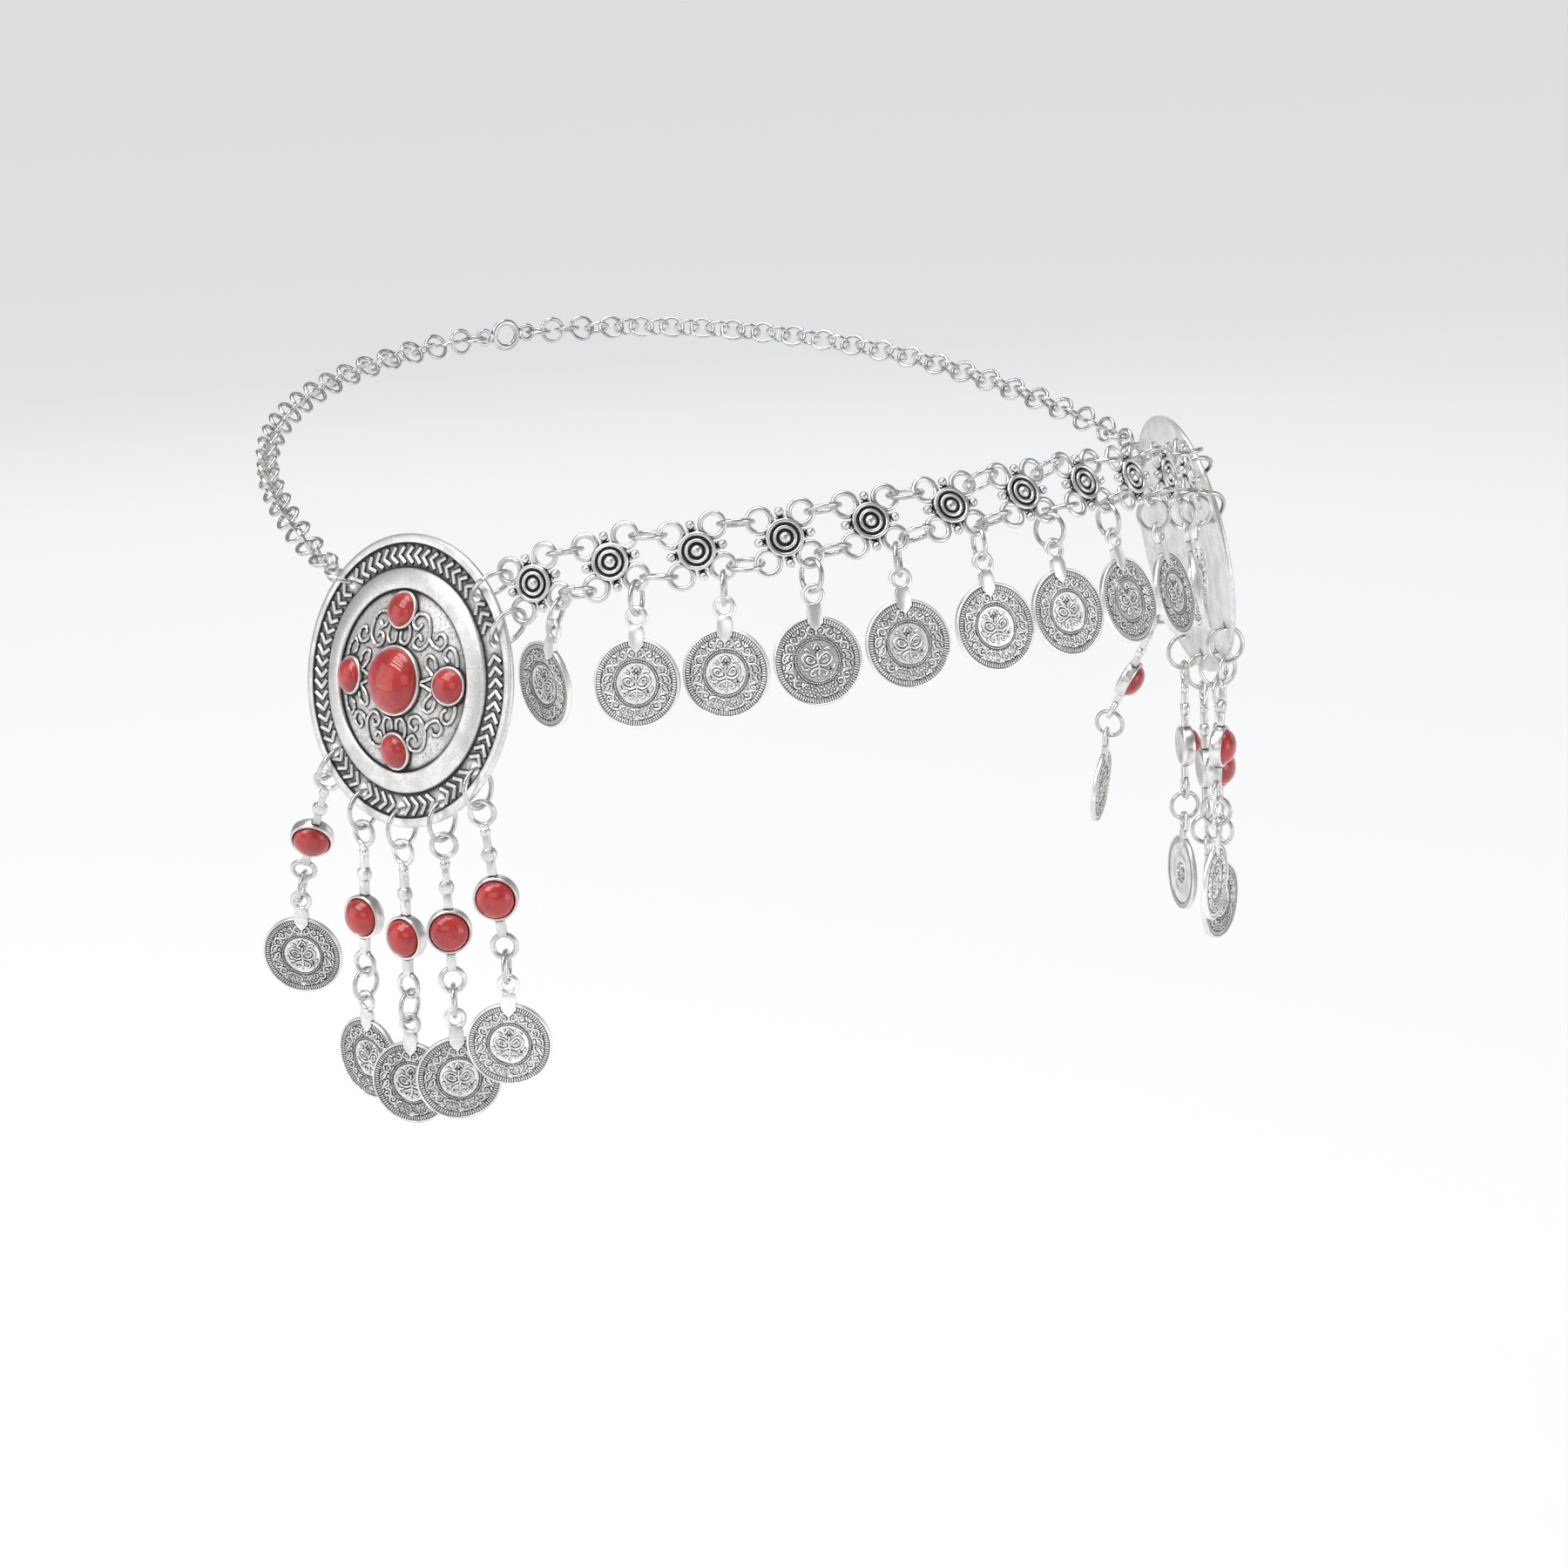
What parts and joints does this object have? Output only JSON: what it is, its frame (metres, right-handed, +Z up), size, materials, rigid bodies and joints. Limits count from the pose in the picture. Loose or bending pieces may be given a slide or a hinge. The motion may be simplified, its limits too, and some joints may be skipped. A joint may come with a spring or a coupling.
{
  "type": "coin head chain",
  "caption": "Antique silver head chain: flower-link band with hanging coins, round red-stone medallions with coin drops at the temples, and a chain behind.",
  "frame": {"origin": "middle of the head opening, level with the middle of the band across the forehead", "axes": "+Z up through the head opening, -Y the way the wearer faces, +X the wearer's left"},
  "size_m": [0.2046, 0.2017, 0.1268],
  "materials": {
    "silver_alloy": "cast zinc alloy with an antique silver finish, dark in the recesses",
    "coin_alloy": "struck coin pieces with an antique silver finish, dark in the relief",
    "silver_wire": "round wire with an antique silver finish",
    "red_stone": "polished opaque red stone with faint darker veins"
  },
  "bodies": {
    "root": {"connector_01": "silver_alloy", "connector_02": "silver_alloy", "connector_03": "silver_alloy", "connector_04": "silver_alloy", "connector_05": "silver_alloy", "connector_06": "silver_alloy", "connector_07": "silver_alloy", "connector_08": "silver_alloy", "connector_09": "silver_alloy", "connector_10": "silver_alloy", "connector_11": "silver_alloy", "connector_12": "silver_alloy", "coin_01": "coin_alloy", "coin_02": "coin_alloy", "coin_03": "coin_alloy", "coin_04": "coin_alloy", "coin_05": "coin_alloy", "coin_06": "coin_alloy", "coin_07": "coin_alloy", "coin_08": "coin_alloy", "coin_09": "coin_alloy", "coin_10": "coin_alloy", "coin_11": "coin_alloy", "band_rings": "silver_wire", "coin_rings": "silver_wire", "medallion_rings": "silver_wire", "medallion_right": "silver_alloy", "medallion_left": "silver_alloy", "medallion_stones_right": "red_stone", "medallion_stones_left": "red_stone", "drop_bar_right_1": "silver_alloy", "drop_bar_right_2": "silver_alloy", "drop_bar_right_3": "silver_alloy", "drop_bar_right_4": "silver_alloy", "drop_bar_right_5": "silver_alloy", "drop_bar_left_1": "silver_alloy", "drop_bar_left_2": "silver_alloy", "drop_bar_left_3": "silver_alloy", "drop_bar_left_4": "silver_alloy", "drop_bar_left_5": "silver_alloy", "drop_stones_right": "red_stone", "drop_stones_left": "red_stone", "drop_rings_right": "silver_wire", "drop_rings_left": "silver_wire", "drop_coins_right": "coin_alloy", "drop_coins_left": "coin_alloy", "back_chain_right": "silver_wire", "back_chain_left": "silver_wire", "clasp": "silver_wire"}
  },
  "joints": []
}
